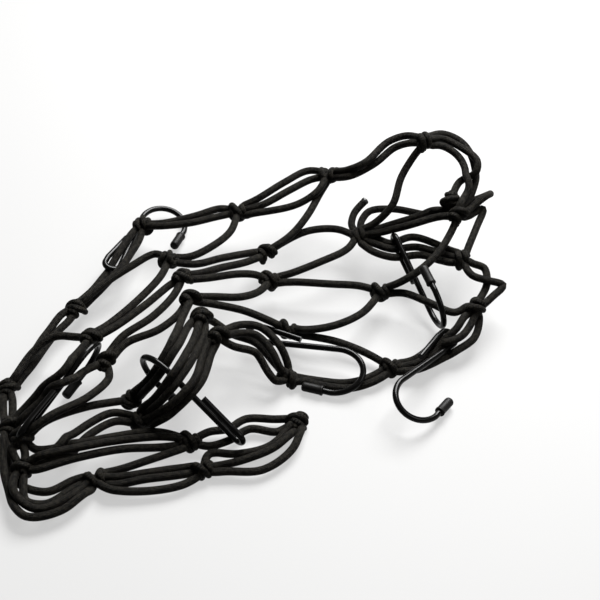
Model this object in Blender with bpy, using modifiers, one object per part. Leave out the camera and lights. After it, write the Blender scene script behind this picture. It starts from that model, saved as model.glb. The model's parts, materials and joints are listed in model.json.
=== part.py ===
"""Elastic cargo net with six wire hooks, lying crumpled and half folded on a table.

One net of knotted elastic cord, six hooks bent from round wire, and a cap pushed on each hook's tip.
Tables are in millimetres. A place in the lie is a photo column and row, in a frame of 600 by 600,
with its height above the table, and place() turns these into a point. The origin is on the table.
"""

import math

import bmesh
import bpy
import numpy as np
from mathutils import Matrix, Vector

MM = 0.001

# Driving sizes, in millimetres.
CORD_RADIUS = 2.5
GAP = 0.3
WIRE_RADIUS = 2.1
HOOK_LENGTH = 84.0
BEND_RADIUS = 16.3
BEND_DEPTH = 19.5
TIP_RUN = 18.0
TIP_TURN_IN = 2.4
EYE_RADIUS = 5.6
EYE_LEG = 37.8
CAP_RADIUS = 3.4
CAP_LENGTH = 15.0
CAP_WALL = 2.2
KNOT_RIDGE = 6.2
KNOT_WAIST = 5.1
KNOT_NECK = 4.4
KNOT_HALF = 6.6
KNOT_CHAMFER = 0.8
PRESSED = 0.35
EYE_FLARE = 6.0
LEG_SINK = 0.4

# How far apart the strands of a knot start, so that no two of them run along one line.
START_SPREAD = 0.6
START_TURN = 2.4

TABLE_SIDE = 600.0
TABLE_THICK = 20.0

# The sight line that the columns and rows are read along.
SIGHT_TILT = math.radians(42.0)
SIGHT_DISTANCE = 1200.0
SIGHT_SCALE = 1680.0
FRAME_MIDDLE = 300.0

# Middle of the whole lie on the table, which becomes the origin.
LIE_MIDDLE = (-28.9, -57.0)

# Knots: name, column, row, height of the middle.
KNOTS = (
    ("far_1", 143, 225, 18),
    ("far_2", 238, 212, 28),
    ("far_3", 329, 175, 46),
    ("far_4", 424, 141, 80),
    ("right_1", 458, 215, 50),
    ("right_2", 451, 200, 53),
    ("right_3", 462, 259, 34),
    ("right_4", 476, 308, 22),
    ("right_5", 391, 368, 5),
    ("mid_1", 266, 253, 20),
    ("mid_2", 270, 281, 18),
    ("mid_3", 288, 330, 13),
    ("mid_4", 360, 236, 25),
    ("mid_5", 381, 292, 17),
    ("ridge_1", 169, 260, 29),
    ("ridge_2", 182, 278, 34),
    ("ridge_3", 190, 299, 37),
    ("ridge_4", 201, 317, 40),
    ("ridge_5", 218, 336, 41),
    ("left_1", 76, 309, 12),
    ("left_2", 90, 338, 34),
    ("left_3", 106, 362, 24),
    ("left_4", 131, 400, 10),
    ("left_5", 140, 421, 8),
    ("corner_1", 8, 389, 8),
    ("corner_2", 9, 427, 10),
    ("corner_3", 21, 438, 15),
    ("corner_4", 24, 468, 10),
    ("near_1", 95, 479, 5),
    ("near_2", 190, 442, 6),
    ("near_3", 203, 470, 5),
    ("near_4", 298, 422, 5),
    ("near_5", 288, 378, 5),
)

# Strands: from, to, and the points between as column, row, rise over the line between the two heights.
STRANDS = (
    ("far_1", "far_2", ((160, 226, 3), (190, 223, 4), (216, 217, 2))),
    ("far_1", "far_2", ((165, 223, 2), (195, 216, 3), (220, 209, 2))),
    ("far_2", "far_3", ((258, 199, 3), (285, 182, 4), (308, 171, 2))),
    ("far_2", "far_3", ((262, 205, 2), (290, 190, 2), (312, 179, 0))),
    ("far_2", "far_3", ((268, 211, 0), (298, 204, -1), (318, 191, 0))),
    ("far_3", "far_4", ((348, 171, 2), (366, 162, 4), (388, 142, 4), (406, 136, 2))),
    ("far_3", "far_4", ((350, 175, 0), (374, 164, 1), (394, 148, 1), (408, 143, 0))),
    ("far_4", "right_1", ((442, 134, 2), (460, 141, 4), (471, 155, 4), (475, 177, 2), (470, 197, 0))),
    ("far_4", "right_1", ((440, 144, 0), (456, 154, 0), (467, 170, 0), (470, 186, 0), (465, 201, 0))),
    ("far_4", "right_2", ((442, 139, 1), (462, 148, 2), (477, 161, 4), (475, 172, 4), (460, 181, 2))),
    ("far_4", "mid_4", ((413, 157, 0), (401, 178, 0), (393, 204, 0), (378, 221, 0))),
    ("far_3", "mid_1", ((320, 193, 0), (307, 216, 2), (291, 235, 2))),
    ("far_2", "ridge_1", ((230, 232, 2), (211, 247, 3), (190, 257, 2))),
    ("ridge_1", "mid_1", ((195, 264, 3), (222, 258, 4), (246, 254, 2))),
    ("ridge_2", "mid_1", ((202, 273, 2), (220, 268, 2), (246, 262, 0))),
    ("ridge_2", "mid_2", ((206, 278, 2), (238, 274, 3), (256, 275, 2))),
    ("ridge_3", "mid_2", ((212, 297, 1), (240, 297, 2), (258, 292, 1))),
    ("ridge_3", "mid_3", ((214, 304, 1), (245, 311, 3), (272, 322, 2))),
    ("mid_1", "mid_4", ((282, 243, 2), (308, 231, 3), (336, 229, 2))),
    ("mid_2", "mid_4", ((290, 274, 2), (320, 262, 3), (346, 250, 2))),
    ("mid_2", "mid_5", ((298, 282, 2), (330, 284, 3), (360, 286, 2))),
    ("mid_3", "mid_5", ((308, 330, 2), (336, 325, 3), (362, 313, 2))),
    ("mid_3", "right_5", ((306, 335, 1), (338, 342, 1), (368, 354, 0))),
    ("mid_4", "right_1", ((384, 232, 0), (410, 225, 2), (438, 217, 1))),
    ("mid_4", "right_1", ((384, 227, -2), (410, 219, -2), (438, 212, -1))),
    ("mid_4", "right_1", ((361, 222, -6), (370, 211, -9), (392, 209, -12), (424, 214, -8))),
    ("mid_5", "right_1", ((401, 282, 3), (420, 270, 4), (438, 253, 2), (451, 232, 0))),
    ("mid_5", "right_4", ((404, 293, 2), (430, 303, 3), (455, 313, 2))),
    ("mid_4", "right_3", ((376, 238, -1), (389, 243, -1), (412, 237, -4), (438, 245, -2))),
    ("mid_4", "right_3", ((374, 243, -2), (392, 249, -3), (416, 247, -5), (440, 253, -3))),
    ("mid_4", "right_3", ((371, 250, -3), (392, 257, -5), (420, 255, -7), (442, 260, -4))),
    ("right_1", "right_2", ((472, 206, 0), (486, 196, 1), (490, 194, -4), (474, 200, -7))),
    ("right_1", "right_3", ((470, 213, 0), (483, 209, 0), (477, 226, 0), (469, 245, 0))),
    ("right_3", "right_4", ((473, 264, 1), (484, 268, 1), (487, 283, 0), (482, 297, 0))),
    ("right_3", "right_4", ((472, 275, 0), (490, 281, 0), (503, 285, -1), (490, 298, 0))),
    ("right_4", "right_5", ((464, 317, 2), (457, 328, 3), (438, 345, 2), (412, 361, 0))),
    ("right_4", "right_5", ((471, 323, 0), (463, 335, 0), (444, 348, 0), (414, 364, 0))),
    ("right_4", "right_5", ((478, 323, -2), (474, 338, -3), (448, 354, -2), (417, 369, 0))),
    ("right_5", "near_5", ((374, 376, 0), (348, 383, 0), (318, 381, 0))),
    ("right_5", "near_5", ((374, 381, 0), (350, 388, 0), (318, 385, 0))),
    ("ridge_5", "near_5", ((240, 325, -2), (260, 327, 0), (280, 346, 2), (287, 364, 0))),
    ("ridge_5", "near_5", ((238, 333, 0), (256, 335, 3), (271, 350, 4), (280, 368, 2))),
    ("ridge_5", "near_5", ((234, 346, 0), (256, 353, 0), (265, 367, 0), (275, 380, 0))),
    ("ridge_4", "near_5", ((214, 322, -4), (232, 334, -4), (256, 343, 0), (272, 360, 0))),
    ("ridge_1", "left_1", ((155, 254, 2), (130, 267, 3), (100, 287, 2))),
    ("ridge_1", "left_2", ((160, 277, 2), (138, 300, 2), (112, 322, 1))),
    ("ridge_2", "left_2", ((169, 286, -2), (144, 306, -1), (114, 327, 0))),
    ("ridge_2", "left_3", ((173, 296, 1), (152, 317, 2), (121, 338, 2))),
    ("ridge_3", "left_3", ((178, 315, 1), (158, 330, 1), (126, 343, 1))),
    ("ridge_3", "left_4", ((183, 316, 9), (170, 346, 23), (150, 378, 15))),
    ("ridge_4", "left_4", ((189, 327, 8), (174, 351, 21), (154, 381, 15))),
    ("ridge_4", "left_5", ((196, 334, 8), (180, 365, 20), (158, 395, 14))),
    ("ridge_4", "left_5", ((203, 335, 6), (187, 367, 18), (162, 400, 12))),
    ("ridge_5", "left_5", ((205, 349, 7), (194, 381, 14), (166, 409, 9))),
    ("ridge_5", "left_5", ((212, 350, 5), (200, 383, 11), (170, 413, 7))),
    ("far_1", "left_1", ((133, 233, 0), (113, 262, 0), (94, 289, 0))),
    ("far_1", "left_1", ((139, 240, 0), (121, 266, 0), (100, 290, 0))),
    ("left_1", "corner_1", ((63, 314, 2), (47, 334, 2), (25, 366, 1))),
    ("left_1", "corner_1", ((69, 320, 0), (51, 338, 0), (29, 369, 0))),
    ("left_2", "corner_1", ((76, 337, 2), (54, 337, 4), (33, 352, 4))),
    ("left_2", "corner_2", ((79, 352, 10), (61, 374, 14), (34, 399, 6))),
    ("left_3", "corner_2", ((90, 368, 7), (66, 382, 15), (36, 406, 7))),
    ("left_3", "corner_3", ((109, 377, 0), (88, 397, 4), (50, 416, 8))),
    ("left_4", "corner_3", ((114, 402, 2), (86, 407, 5), (48, 420, 8))),
    ("corner_1", "corner_2", ((4, 400, 0), (4, 413, 0))),
    ("corner_1", "corner_2", ((12, 401, 0), (12, 413, 0))),
    ("corner_2", "near_1", ((3, 445, 0), (7, 484, 0), (26, 516, 0), (62, 510, 0))),
    ("corner_3", "corner_4", ((14, 450, 0),)),
    ("corner_3", "corner_4", ((25, 451, 0),)),
    ("corner_4", "near_1", ((14, 480, 2), (15, 496, 2), (36, 509, 2), (70, 497, 1))),
    ("corner_4", "near_1", ((23, 484, 0), (26, 501, 0), (46, 504, 0), (72, 490, 0))),
    ("corner_2", "near_1", ((7, 454, -4), (18, 483, -4), (46, 492, -2), (73, 482, -1))),
    ("left_5", "corner_4", ((114, 413, 3), (90, 423, 4), (54, 451, 5))),
    ("left_5", "corner_4", ((116, 421, 0), (90, 434, 2), (58, 457, 3))),
    ("corner_3", "near_2", ((34, 449, -2), (72, 445, 2), (112, 437, 3), (158, 432, 2))),
    ("corner_4", "near_2", ((40, 457, 5), (80, 447, 7), (122, 440, 5), (162, 437, 3))),
    ("corner_4", "near_2", ((38, 468, 2), (80, 457, 3), (122, 449, 2), (162, 447, 1))),
    ("near_1", "near_2", ((112, 473, 1), (140, 463, 2), (168, 453, 1))),
    ("near_1", "near_3", ((114, 478, 1), (146, 473, 2), (178, 469, 1))),
    ("near_1", "near_3", ((114, 484, 0), (146, 479, 1), (178, 475, 0))),
    ("near_1", "near_3", ((112, 489, 0), (148, 491, 0), (184, 484, 0))),
    ("near_2", "near_4", ((209, 432, 0), (228, 429, 0), (246, 419, 0), (278, 420, 0))),
    ("near_2", "near_4", ((209, 446, 0), (230, 440, 0), (250, 429, 0), (278, 432, 0))),
    ("near_3", "near_4", ((210, 454, 1), (236, 454, 2), (268, 447, 1))),
    ("near_3", "near_4", ((220, 466, 0), (246, 459, 0), (276, 446, 0))),
    ("near_3", "near_4", ((226, 471, 0), (262, 470, 0), (292, 449, 0))),
)

# Cut end: the point it grows from inside a knot, then points as column, row, height.
TAILS = (
    ((358, 235, 25), (352, 224, 25), (355, 212, 27), (365, 201, 31)),
)

# Hooks: eye end, far end of the straight shank's line, and wire end, each as column, row, height, then
# how far the end of the eye's free leg stands off the shank. A hook is flat, and its leg is on the side
# of the shank away from the tip.
HOOKS = (
    ("hook_1", (118, 271, 14), (149, 203, 10), (174, 247, 5), 4.5),
    ("hook_2", (394, 233, 34), (441, 334, 2), (423, 268, 44), 8.5),
    ("hook_3", (458, 341, 9), (386, 391, 24), (450, 401, 4), 5.7),
    ("hook_4", (246, 340, 12), (367, 352, 17), (302, 386, 4), 4.5),
    ("hook_5", (240, 444, 6), (149, 352, 50), (182, 407, 4), 11.0),
    ("hook_6", (20, 440, 10), (95, 340, 42), (64, 397, 3), 5.7),
)

KNOT_SIDES = 8
TUBE_BEVEL = 1
WIRE_BEVEL = 2
STEP_LENGTH = 21.0
STEP_TURN = math.radians(42.0)
EASE_STEP = 5.0
EASE_ROUNDS = 70

COLOURS = {
    "net": ((0.012, 0.012, 0.013, 1.0), 0.85),
    "wire": ((0.02, 0.02, 0.021, 1.0), 0.32),
    "cap": ((0.03, 0.03, 0.031, 1.0), 0.5),
}


def place(column, row, height):
    """The point, in millimetres, that the photo shows at this column and row and at this height."""
    up = math.cos(SIGHT_TILT)
    down = math.sin(SIGHT_TILT)
    rise = (FRAME_MIDDLE - row) / SIGHT_SCALE
    y = (rise * (SIGHT_DISTANCE - height * down) - height * up) / (down - rise * up)
    depth = SIGHT_DISTANCE + y * up - height * down
    x = (column - FRAME_MIDDLE) / SIGHT_SCALE * depth
    return np.array((x - LIE_MIDDLE[0], y - LIE_MIDDLE[1], height))


def eye_point():
    """Where the sight lines meet."""
    y = -SIGHT_DISTANCE * math.cos(SIGHT_TILT) - LIE_MIDDLE[1]
    return np.array((-LIE_MIDDLE[0], y, SIGHT_DISTANCE * math.sin(SIGHT_TILT)))


def mix(low, high, t, a, b):
    return ((high - t) * a + (t - low) * b) / (high - low)


def smooth(points, step):
    """A centripetal Catmull-Rom curve through the points, with a place about every step."""
    points = [np.asarray(point, float) for point in points]
    points = [2 * points[0] - points[1], *points, 2 * points[-1] - points[-2]]
    curve = []
    for p0, p1, p2, p3 in zip(points, points[1:], points[2:], points[3:]):
        t1 = math.sqrt(np.linalg.norm(p1 - p0))
        t2 = t1 + math.sqrt(np.linalg.norm(p2 - p1))
        t3 = t2 + math.sqrt(np.linalg.norm(p3 - p2))
        count = max(2, round(np.linalg.norm(p2 - p1) / step))
        for t in np.linspace(t1, t2, count, endpoint=False):
            a1 = mix(0.0, t1, t, p0, p1)
            a2 = mix(t1, t2, t, p1, p2)
            a3 = mix(t2, t3, t, p2, p3)
            b1 = mix(0.0, t2, t, a1, a2)
            b2 = mix(t1, t3, t, a2, a3)
            curve.append(mix(t1, t2, t, b1, b2))
    curve.append(points[-2])
    return np.array(curve)


def strand_curve(knots, heights, start, end, between, step):
    """The run of cord from one knot to another through the places between them."""
    points = [knots[start]]
    for count, (column, row, rise) in enumerate(between, 1):
        share = count / (len(between) + 1)
        height = heights[start] * (1 - share) + heights[end] * share + rise
        points.append(place(column, row, max(height, CORD_RADIUS)))
    points.append(knots[end])
    return smooth(points, step)


def hook_path(eye, far, tip, leg_end):
    """The wire of one hook: free leg, eye, straight shank and bend, as a list of points."""
    start = place(*eye)
    along = place(*far) - start
    along /= np.linalg.norm(along)
    across = place(*tip) - start
    across -= along * (across @ along)
    across /= np.linalg.norm(across)
    centre = HOOK_LENGTH - BEND_DEPTH
    run = [(EYE_LEG, -leg_end), (EYE_RADIUS + EYE_FLARE, LEG_SINK - 2 * EYE_RADIUS)]
    for turn in np.linspace(0.0, math.pi, 7):
        run.append((EYE_RADIUS * (1 - math.sin(turn)), -EYE_RADIUS * (1 + math.cos(turn))))
    for turn in np.linspace(0.0, math.pi, 11):
        run.append((centre + BEND_DEPTH * math.sin(turn), BEND_RADIUS * (1 - math.cos(turn))))
    run.append((centre - TIP_RUN, 2 * BEND_RADIUS - TIP_TURN_IN))
    path = np.array([start + along * a + across * b for a, b in run])
    sunk = max(WIRE_RADIUS - path[:, 2].min(), CAP_RADIUS + 2 * GAP - path[-5:, 2].min())
    if sunk > 0:
        path += toward_eye(path) * sunk / math.sin(SIGHT_TILT)
    return path


def toward_eye(points):
    """Unit vectors from the points along their sight lines."""
    lines = eye_point() - points
    return lines / np.linalg.norm(lines, axis=1)[:, None]


def dense(path, step):
    """The straight runs of a path cut into short steps."""
    points = []
    for start, end in zip(path, path[1:]):
        count = max(1, round(np.linalg.norm(end - start) / step))
        points += [start + (end - start) * k / count for k in range(count)]
    return np.array(points + [path[-1]])


def ease_apart(curves, knots, wires):
    """Moves strands that run through each other, or through a hook, apart along the sight lines.

    That leaves the lie as the photo shows it. A strand keeps its ends in its knots and stays above the
    table, and the hooks do not move.
    """
    owner = np.concatenate([np.full(len(curve), i) for i, curve in enumerate(curves)])
    base = np.concatenate(curves)
    sight = toward_eye(base)
    shift = np.zeros(len(base))
    middles = np.array(list(knots.values()))
    to_knot = np.linalg.norm(base[:, None] - middles[None], axis=2).min(axis=1)
    free = np.clip((to_knot - KNOT_HALF) / KNOT_HALF, 0.0, 1.0)
    wire = np.concatenate([dense(path, EASE_STEP) for path in wires])
    inner = np.ones(len(base), bool)
    inner[0] = inner[-1] = False
    inner[:-1] &= owner[1:] == owner[:-1]
    inner[1:] &= owner[1:] == owner[:-1]
    inside = np.flatnonzero(inner)
    for _ in range(EASE_ROUNDS):
        now = base + sight * shift[:, None]
        push = np.zeros(len(base))
        weight = np.zeros(len(base))
        for others, own, room, fixed in (
            (now, owner, 2 * CORD_RADIUS + GAP, False),
            (wire, None, CORD_RADIUS + WIRE_RADIUS + GAP, True),
        ):
            apart = now[:, None] - others[None]
            near = (apart**2).sum(axis=2) < room**2
            if own is not None:
                near &= owner[:, None] != own[None]
            rows, columns = np.nonzero(near)
            gaps = apart[rows, columns]
            depth = (gaps * sight[rows]).sum(axis=1)
            beside = (gaps**2).sum(axis=1) - depth**2
            need = np.sqrt(np.clip(room**2 - beside, 0.0, None))
            side = np.sign(depth)
            if own is not None:
                tie = np.abs(depth) < 1e-3
                side[tie] = np.sign(owner[rows] - own[columns])[tie]
            move = side * need - depth
            np.add.at(push, rows, move if fixed else move / 2)
            np.add.at(weight, rows, 1.0)
        shift += free * push / np.maximum(weight, 1.0) * 0.7
        blend = shift.copy()
        blend[inside] = (shift[inside - 1] + 2 * shift[inside] + shift[inside + 1]) / 4
        shift = np.where(inner, 0.6 * shift + 0.4 * blend, 0.0) * np.where(free > 0, 1.0, 0.0)
        low = CORD_RADIUS - PRESSED - base[:, 2]
        shift = np.maximum(shift, low / sight[:, 2])
    eased = base + sight * shift[:, None]
    return [eased[owner == i] for i in range(len(curves))]


def thin_out(curve):
    """Keeps a point where the curve has turned or run on far enough."""
    kept = [0]
    turned = 0.0
    for i in range(1, len(curve) - 1):
        a = curve[i] - curve[i - 1]
        b = curve[i + 1] - curve[i]
        cosine = a @ b / (np.linalg.norm(a) * np.linalg.norm(b))
        turned += math.acos(max(-1.0, min(1.0, cosine)))
        run = np.linalg.norm(curve[i] - curve[kept[-1]])
        if run > STEP_LENGTH or (turned > STEP_TURN and run > CORD_RADIUS * 1.5):
            kept.append(i)
            turned = 0.0
    if len(kept) > 1 and np.linalg.norm(curve[-1] - curve[kept[-1]]) < STEP_LENGTH / 3:
        kept.pop()
    return curve[kept + [len(curve) - 1]]


def material(kind):
    colour, roughness = COLOURS[kind]
    made = bpy.data.materials.get(kind) or bpy.data.materials.new(kind)
    made.use_nodes = True
    shader = made.node_tree.nodes["Principled BSDF"]
    shader.inputs["Base Color"].default_value = colour
    shader.inputs["Roughness"].default_value = roughness
    return made


def collection(name):
    made = bpy.data.collections.new(name)
    bpy.context.scene.collection.children.link(made)
    return made


def tube(name, path, radius, bevel, home):
    """A closed tube along a path in millimetres, as a mesh object."""
    curve = bpy.data.curves.new(name, "CURVE")
    curve.dimensions = "3D"
    curve.bevel_depth = radius * MM
    curve.bevel_resolution = bevel
    curve.use_fill_caps = True
    spline = curve.splines.new("POLY")
    spline.points.add(len(path) - 1)
    for point, where in zip(spline.points, path):
        point.co = (*(where * MM), 1.0)
    guide = bpy.data.objects.new(name + "_guide", curve)
    bpy.context.scene.collection.objects.link(guide)
    graph = bpy.context.evaluated_depsgraph_get()
    mesh = bpy.data.meshes.new_from_object(guide.evaluated_get(graph))
    mesh.name = name
    bpy.data.objects.remove(guide)
    body = bmesh.new()
    body.from_mesh(mesh)
    bmesh.ops.remove_doubles(body, verts=body.verts, dist=1e-6)
    bmesh.ops.recalc_face_normals(body, faces=body.faces)
    body.to_mesh(mesh)
    body.free()
    made = bpy.data.objects.new(name, mesh)
    home.objects.link(made)
    return made


def knot_mesh():
    """A knot as a short ridged barrel about its own Z, with two turns of cord showing."""
    profile = (
        (0.0, KNOT_HALF),
        (KNOT_NECK, KNOT_HALF - KNOT_CHAMFER),
        (KNOT_RIDGE, KNOT_HALF / 2),
        (KNOT_WAIST, 0.0),
        (KNOT_RIDGE, -KNOT_HALF / 2),
        (KNOT_NECK, KNOT_CHAMFER - KNOT_HALF),
        (0.0, -KNOT_HALF),
    )
    mesh = bpy.data.meshes.new("knot_profile")
    points = [(radius * MM, 0.0, height * MM) for radius, height in profile]
    edges = [(i, i + 1) for i in range(len(points) - 1)]
    mesh.from_pydata(points, edges, [])
    turned = bpy.data.objects.new("knot_profile", mesh)
    bpy.context.scene.collection.objects.link(turned)
    screw = turned.modifiers.new("turn", "SCREW")
    screw.steps = screw.render_steps = KNOT_SIDES
    screw.use_merge_vertices = True
    screw.merge_threshold = 0.0001
    graph = bpy.context.evaluated_depsgraph_get()
    barrel = bpy.data.meshes.new_from_object(turned.evaluated_get(graph))
    bpy.data.objects.remove(turned)
    body = bmesh.new()
    body.from_mesh(barrel)
    bmesh.ops.remove_doubles(body, verts=body.verts, dist=1e-6)
    bmesh.ops.recalc_face_normals(body, faces=body.faces)
    body.to_mesh(barrel)
    body.free()
    return barrel


def knot_axis(middle, ends):
    """The direction that most strands leave a knot along."""
    spread = np.array([(end - middle) / np.linalg.norm(end - middle) for end in ends])
    return np.linalg.svd(spread)[2][0]


def boolean(target, operation, operand):
    change = target.modifiers.new(operation.lower(), "BOOLEAN")
    change.operation = operation
    change.solver = "EXACT"
    if isinstance(operand, bpy.types.Collection):
        change.operand_type = "COLLECTION"
        change.collection = operand
    else:
        change.object = operand


def hide(helpers):
    helpers.hide_render = True
    for helper in helpers.objects:
        helper.hide_render = True
        helper.display_type = "WIRE"


def build_net(net_home, cutters):
    heights = {name: height for name, _, _, height in KNOTS}
    knots = {name: place(column, row, height) for name, column, row, height in KNOTS}
    wires = [hook_path(*row[1:]) for row in HOOKS]
    curves = [strand_curve(knots, heights, *row, EASE_STEP) for row in STRANDS]
    curves += [smooth([place(*point) for point in tail], EASE_STEP) for tail in TAILS]
    curves = ease_apart(curves, knots, wires)
    pieces = collection("strands_and_knots")
    reach = {name: [] for name in knots}
    for count, curve in enumerate(curves):
        if count < len(STRANDS):
            start, end = STRANDS[count][:2]
            reach[start].append(curve[2])
            reach[end].append(curve[-3])
            turn = count * START_TURN
            nudge = START_SPREAD * np.array((math.cos(turn), math.sin(turn), math.cos(3 * turn)))
            curve[0] += nudge
            curve[-1] -= nudge
        tube(f"strand_{count}", thin_out(curve), CORD_RADIUS, TUBE_BEVEL, pieces)
    barrel = knot_mesh()
    for count, (name, middle) in enumerate(knots.items()):
        axis = knot_axis(middle, reach[name])
        lift = max(middle[2], KNOT_WAIST)
        knot = bpy.data.objects.new(name, barrel)
        upright = Matrix.LocRotScale(None, axis_turn(axis), None)
        knot.matrix_world = Matrix.Translation((middle[0] * MM, middle[1] * MM, lift * MM)) @ upright
        pieces.objects.link(knot)
    net = pieces.objects[0]
    pieces.objects.unlink(net)
    net_home.objects.link(net)
    net.name = "net"
    net.data.materials.append(material("net"))
    for count, path in enumerate(wires):
        tube(f"room_{count}", run_on(path, GAP), WIRE_RADIUS + GAP, WIRE_BEVEL, cutters)
        tube(f"cap_room_{count}", run_on(cap_path(path), GAP), CAP_RADIUS + GAP, WIRE_BEVEL, cutters)
    return net, pieces


def axis_turn(axis):
    return Vector((0.0, 0.0, 1.0)).rotation_difference(Vector(axis))


def cap_path(path):
    """The middle line of a hook's cap: its own length back from just past the wire's end."""
    run = dense(path, 1.0)[::-1]
    along = np.concatenate([[0.0], np.cumsum(np.linalg.norm(np.diff(run, axis=0), axis=1))])
    inside = CAP_LENGTH - CAP_WALL
    tip = run[0] + (run[0] - run[1]) / np.linalg.norm(run[0] - run[1]) * CAP_WALL
    marks = np.linspace(0.0, inside, 4)
    body = [np.array([np.interp(mark, along, run[:, k]) for k in range(3)]) for mark in marks]
    return np.array([tip, *body])


def run_on(path, more):
    """The path with both ends run on a little further."""
    first = path[0] - path[1]
    last = path[-1] - path[-2]
    start = path[0] + first / np.linalg.norm(first) * more
    end = path[-1] + last / np.linalg.norm(last) * more
    return np.array([start, *path[1:-1], end])


def main():
    for old in list(bpy.data.objects):
        bpy.data.objects.remove(old)
    home = collection("cargo_net")
    cutters = collection("cutters")
    bore_home = collection("bores")
    net, pieces = build_net(home, cutters)
    table = bpy.data.meshes.new("table")
    body = bmesh.new()
    bmesh.ops.create_cube(body, size=1.0)
    bmesh.ops.scale(body, vec=(TABLE_SIDE * MM, TABLE_SIDE * MM, TABLE_THICK * MM), verts=body.verts)
    bmesh.ops.translate(body, vec=(0.0, 0.0, -TABLE_THICK * MM / 2), verts=body.verts)
    body.to_mesh(table)
    body.free()
    cutters.objects.link(bpy.data.objects.new("table", table))
    bores = []
    for name, *places in HOOKS:
        path = hook_path(*places)
        wire = tube(name, path, WIRE_RADIUS, WIRE_BEVEL, home)
        wire.data.materials.append(material("wire"))
        cap = tube(name + "_cap", cap_path(path), CAP_RADIUS, WIRE_BEVEL, home)
        cap.data.materials.append(material("cap"))
        bore = tube(name + "_bore", dense(path, 2.0)[-12:], WIRE_RADIUS + GAP, WIRE_BEVEL, bore_home)
        bores.append((cap, bore))
    hide(pieces)
    hide(cutters)
    hide(bore_home)
    boolean(net, "UNION", pieces)
    boolean(net, "DIFFERENCE", cutters)
    for cap, bore in bores:
        boolean(cap, "DIFFERENCE", bore)


main()
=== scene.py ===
"""Dresses a knotted elastic cargo net with six wire hooks, which lies crumpled and half folded on a table.

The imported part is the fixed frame. The net's cord, its knots, the cut cord end, the hook wires and the
tip caps are drawn over it in fine detail, and each stands for the solid in the same place. Places in the
lie are a column and row of the 600 by 600 view with a height above the table, all read along the sight
lines of the scene's own camera, as in the part's source. Lengths in the tables are millimetres.
"""

import functools
import json
import math

import bmesh
import bpy
import numpy as np
from bpy.props import FloatProperty, FloatVectorProperty, IntProperty, PointerProperty
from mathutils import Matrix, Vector

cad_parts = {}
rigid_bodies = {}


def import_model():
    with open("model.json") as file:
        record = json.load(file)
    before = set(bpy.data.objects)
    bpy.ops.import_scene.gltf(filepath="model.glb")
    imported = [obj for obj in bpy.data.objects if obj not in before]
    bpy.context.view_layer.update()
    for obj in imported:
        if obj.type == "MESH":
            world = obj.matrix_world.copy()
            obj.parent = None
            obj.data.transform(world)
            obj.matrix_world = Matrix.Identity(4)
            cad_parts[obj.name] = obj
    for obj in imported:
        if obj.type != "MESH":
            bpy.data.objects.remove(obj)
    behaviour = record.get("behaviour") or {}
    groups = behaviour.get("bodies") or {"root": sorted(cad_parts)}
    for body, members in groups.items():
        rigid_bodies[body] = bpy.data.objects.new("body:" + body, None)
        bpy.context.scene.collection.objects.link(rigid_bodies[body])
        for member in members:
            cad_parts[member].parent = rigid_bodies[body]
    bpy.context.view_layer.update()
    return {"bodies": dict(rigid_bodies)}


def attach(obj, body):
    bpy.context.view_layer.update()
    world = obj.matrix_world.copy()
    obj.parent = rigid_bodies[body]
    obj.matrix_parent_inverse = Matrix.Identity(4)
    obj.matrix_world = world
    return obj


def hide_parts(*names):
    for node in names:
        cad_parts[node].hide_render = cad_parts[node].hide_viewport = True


bl_info = {
    "name": "Cargo Net",
    "version": (1, 0, 0),
    "blender": (4, 5, 0),
    "location": "View3D > Sidebar > Cargo Net",
    "description": "Dresses the packed cargo net with braided cord, tied knots, coated hooks and caps",
    "category": "Object",
}

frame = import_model()
BODY = next(iter(frame["bodies"]))

MM = 0.001

# Sizes of the part, in millimetres, as in its source.
CORD_RADIUS = 2.5
GAP = 0.3
WIRE_RADIUS = 2.1
HOOK_LENGTH = 84.0
BEND_RADIUS = 16.3
BEND_DEPTH = 19.5
TIP_RUN = 18.0
TIP_TURN_IN = 2.4
EYE_RADIUS = 5.6
EYE_LEG = 37.8
EYE_FLARE = 6.0
LEG_SINK = 0.4
CAP_RADIUS = 3.4
CAP_LENGTH = 15.0
CAP_WALL = 2.2
KNOT_HALF = 6.6
PRESSED = 0.35
EASE_STEP = 5.0
EASE_ROUNDS = 70

# The sight line that the columns and rows are read along, which is the camera's too.
SIGHT_TILT = math.radians(42.0)
SIGHT_DISTANCE = 1200.0
SIGHT_SCALE = 1680.0
FRAME_MIDDLE = 300.0

# Middle of the whole lie on the table, which is the origin.
LIE_MIDDLE = (-28.9, -57.0)

# Knots: name, column, row, height of the middle.
KNOTS = (
    ("far_1", 143, 225, 18),
    ("far_2", 238, 212, 28),
    ("far_3", 329, 175, 46),
    ("far_4", 424, 141, 80),
    ("right_1", 458, 215, 50),
    ("right_2", 451, 200, 53),
    ("right_3", 462, 259, 34),
    ("right_4", 476, 308, 22),
    ("right_5", 391, 368, 5),
    ("mid_1", 266, 253, 20),
    ("mid_2", 270, 281, 18),
    ("mid_3", 288, 330, 13),
    ("mid_4", 360, 236, 25),
    ("mid_5", 381, 292, 17),
    ("ridge_1", 169, 260, 29),
    ("ridge_2", 182, 278, 34),
    ("ridge_3", 190, 299, 37),
    ("ridge_4", 201, 317, 40),
    ("ridge_5", 218, 336, 41),
    ("left_1", 76, 309, 12),
    ("left_2", 90, 338, 34),
    ("left_3", 106, 362, 24),
    ("left_4", 131, 400, 10),
    ("left_5", 140, 421, 8),
    ("corner_1", 8, 389, 8),
    ("corner_2", 9, 427, 10),
    ("corner_3", 21, 438, 15),
    ("corner_4", 24, 468, 10),
    ("near_1", 95, 479, 5),
    ("near_2", 190, 442, 6),
    ("near_3", 203, 470, 5),
    ("near_4", 298, 422, 5),
    ("near_5", 288, 378, 5),
)

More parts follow.
